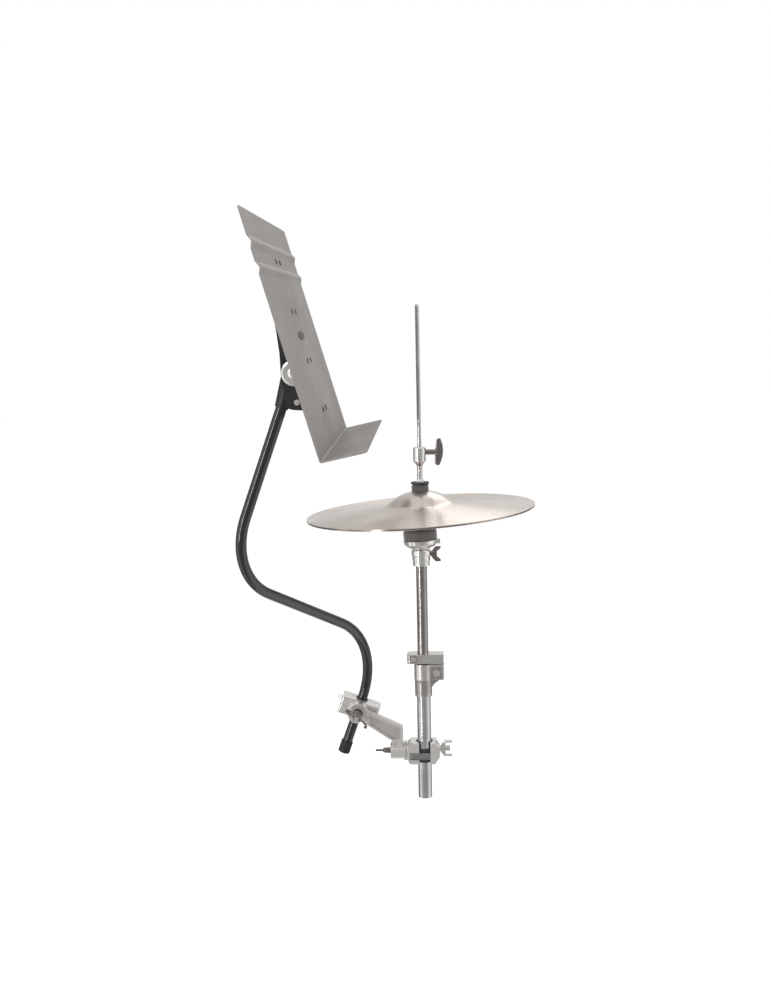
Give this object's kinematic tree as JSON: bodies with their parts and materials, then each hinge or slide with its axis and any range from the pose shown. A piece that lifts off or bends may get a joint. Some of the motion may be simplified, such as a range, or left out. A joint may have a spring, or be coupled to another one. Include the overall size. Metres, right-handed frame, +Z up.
{
  "type": "hi-hat stand with music desk",
  "caption": "Cymbal pair on a telescoping stand top with pull rod and clutch, carrying a clamped S-bent tube that holds a tilting folded-sheet music desk",
  "frame": {"origin": "centre of the lower tube's cut bottom end", "axes": "+Z up along the stand tubes, +X the way the desk faces, -Y the near end of the desk"},
  "size_m": [0.4335, 0.6544, 0.8964],
  "materials": {
    "tube_chrome": "polished chrome",
    "cast_nickel": "satin nickel plated casting",
    "steel_bar": "plain steel",
    "bronze": "lathed bronze",
    "felt_dark": "dense felt",
    "nylon_black": "moulded nylon",
    "rubber_black": "moulded rubber",
    "tube_black": "gloss black",
    "bracket_black": "satin black",
    "desk_grey": "fine textured grey enamel",
    "badge_dark": "dark oval badge",
    "spring_steel": "spring wire"
  },
  "bodies": {
    "stand": {"lower_tube": "tube_chrome", "height_clamp": "cast_nickel", "clamp_bush": "nylon_black", "clamp_nut": "tube_chrome"},
    "height_bolt": {"height_wing_bolt": "tube_chrome"},
    "upper": {"upper_tube": "tube_chrome", "memory_lock_front": "cast_nickel", "memory_lock_rear": "cast_nickel", "memory_lock_pin": "tube_chrome", "seat_body": "tube_chrome", "rod_guide_top": "nylon_black", "rod_guide_bottom": "nylon_black", "return_spring": "spring_steel"},
    "lock_screw": {"memory_lock_screw": "tube_chrome"},
    "tilter": {"tilter_screw": "tube_chrome"},
    "seat": {"seat_cup": "tube_chrome", "seat_felt": "felt_dark", "bottom_cymbal": "bronze"},
    "rod": {"pull_rod": "tube_chrome", "rod_coupling": "tube_chrome", "lower_rod": "tube_chrome"},
    "clutch": {"clutch_body": "tube_chrome", "clutch_lock_nut": "tube_chrome", "clutch_flange": "nylon_black", "clutch_bottom_nut": "tube_chrome"},
    "clutch_screw": {"clutch_wing_screw": "tube_chrome"},
    "upper_cymbal": {"top_cymbal": "bronze", "clutch_felt_upper": "felt_dark", "clutch_felt_lower": "felt_dark"},
    "liner": {"jaw_liner": "nylon_black"},
    "clamp": {"clamp_jaw_left": "cast_nickel", "clamp_jaw_right": "cast_nickel", "clamp_hinge_pin": "tube_chrome", "gate_bar": "steel_bar", "ratchet_fixed": "cast_nickel"},
    "shoe": {"clamp_shoe": "steel_bar"},
    "clamp_screw": {"clamp_wing_screw": "tube_chrome"},
    "arm": {"arm": "cast_nickel", "ratchet_arm": "cast_nickel"},
    "arm_bolt": {"arm_wing_bolt": "tube_chrome"},
    "holder": {"holder_front": "cast_nickel", "holder_rear": "cast_nickel", "holder_hinge_pin": "tube_chrome", "holder_eye_bolt": "tube_chrome", "swivel_bolt": "tube_chrome"},
    "swivel_nut": {"swivel_wing_nut": "tube_chrome"},
    "holder_nut": {"holder_wing_nut": "tube_chrome"},
    "bush": {"split_bush": "nylon_black"},
    "bent_tube": {"s_tube": "tube_black", "tube_end_cap": "rubber_black", "tube_socket": "bracket_black"},
    "desk": {"desk_panel": "desk_grey", "desk_bracket": "bracket_black", "pivot_bolt": "tube_chrome", "pivot_disc_near": "tube_chrome", "pivot_disc_far": "tube_chrome", "stop_screw": "tube_chrome", "desk_badge": "badge_dark"}
  },
  "joints": [
    {"name": "height_slide", "type": "slide", "parent": "stand", "child": "upper", "axis": [0, 0, 1], "range_m": [0, 0.03]},
    {"name": "height_bolt_turn", "type": "hinge", "parent": "stand", "child": "height_bolt", "pos_m": [0.0216, 0, 0.2058], "axis": [0, 1, 0], "continuous": true},
    {"name": "rod_lift", "type": "slide", "parent": "upper", "child": "rod", "axis": [0, 0, 1], "range_m": [0, 0.02], "deforming": ["return_spring"]},
    {"name": "clutch_slide", "type": "slide", "parent": "rod", "child": "clutch", "axis": [0, 0, 1], "range_m": [0, 0.02]},
    {"name": "clutch_screw_turn", "type": "hinge", "parent": "clutch", "child": "clutch_screw", "pos_m": [0, 0, 0.554], "axis": [1, 0, 0], "continuous": true},
    {"name": "cymbal_rock", "type": "hinge", "parent": "clutch", "child": "upper_cymbal", "pos_m": [0, 0, 0.4897], "axis": [0, 1, 0], "range_deg": [-1, 3.27]},
    {"name": "seat_tilt", "type": "hinge", "parent": "upper", "child": "seat", "pos_m": [0, 0, 0.404], "axis": [0, 1, 0], "range_deg": [-1, 3.27]},
    {"name": "tilter_turn", "type": "hinge", "parent": "upper", "child": "tilter", "pos_m": [0, 0, 0.394], "axis": [1, 0, 0], "continuous": true},
    {"name": "lock_screw_turn", "type": "hinge", "parent": "upper", "child": "lock_screw", "pos_m": [-0.015, 0, 0.2277], "axis": [0, 1, 0], "continuous": true},
    {"name": "clamp_slide", "type": "slide", "parent": "stand", "child": "liner", "axis": [0, 0, 1], "range_m": [-0.01, 0.05]},
    {"name": "clamp_swing", "type": "hinge", "parent": "liner", "child": "clamp", "pos_m": [0, 0, 0.0753], "axis": [0, 0, 1], "range_deg": [-45, 45]},
    {"name": "shoe_slide", "type": "slide", "parent": "clamp", "child": "shoe", "axis": [1, 0, 0], "range_m": [0, 0.0015]},
    {"name": "clamp_screw_turn", "type": "hinge", "parent": "shoe", "child": "clamp_screw", "pos_m": [0, 0, 0.08], "axis": [1, 0, 0], "range_deg": [0, 432]},
    {"name": "arm_ratchet", "type": "hinge", "parent": "clamp", "child": "arm", "pos_m": [0, 0, 0.0766], "axis": [1, 0, 0], "range_deg": [-8, 8]},
    {"name": "arm_bolt_turn", "type": "hinge", "parent": "arm", "child": "arm_bolt", "pos_m": [0, 0, 0.0766], "axis": [1, 0, 0], "continuous": true},
    {"name": "holder_swivel", "type": "hinge", "parent": "arm", "child": "holder", "pos_m": [-0.10509, 0.0252, 0.14011], "axis": [0, 1, 0], "range_deg": [-15, 0]},
    {"name": "swivel_nut_turn", "type": "hinge", "parent": "holder", "child": "swivel_nut", "pos_m": [-0.10509, 0.0252, 0.14011], "axis": [0, 1, 0], "continuous": true},
    {"name": "holder_nut_turn", "type": "hinge", "parent": "holder", "child": "holder_nut", "pos_m": [-0.12813, 0.0252, 0.14845], "axis": [0, 1, 0], "continuous": true},
    {"name": "tube_turn", "type": "hinge", "parent": "holder", "child": "bush", "pos_m": [-0.10509, 0.0252, 0.14011], "axis": [0.3404, 0, 0.9403], "range_deg": [-8, 2]},
    {"name": "tube_slide", "type": "slide", "parent": "bush", "child": "bent_tube", "axis": [0.3404, 0, 0.9403], "range_m": [0, 0.02]},
    {"name": "desk_tilt", "type": "hinge", "parent": "bent_tube", "child": "desk", "pos_m": [-0.16182, -0.22195, 0.68921], "axis": [0.0187, -0.9998, 0], "range_deg": [-4, 50]}
  ],
  "couplings": [
    {"joint": "cymbal_rock", "follows": "seat_tilt", "ratio": 1},
    {"joint": "clamp_screw_turn", "follows": "shoe_slide", "rad_per_m": 5026.5}
  ]
}
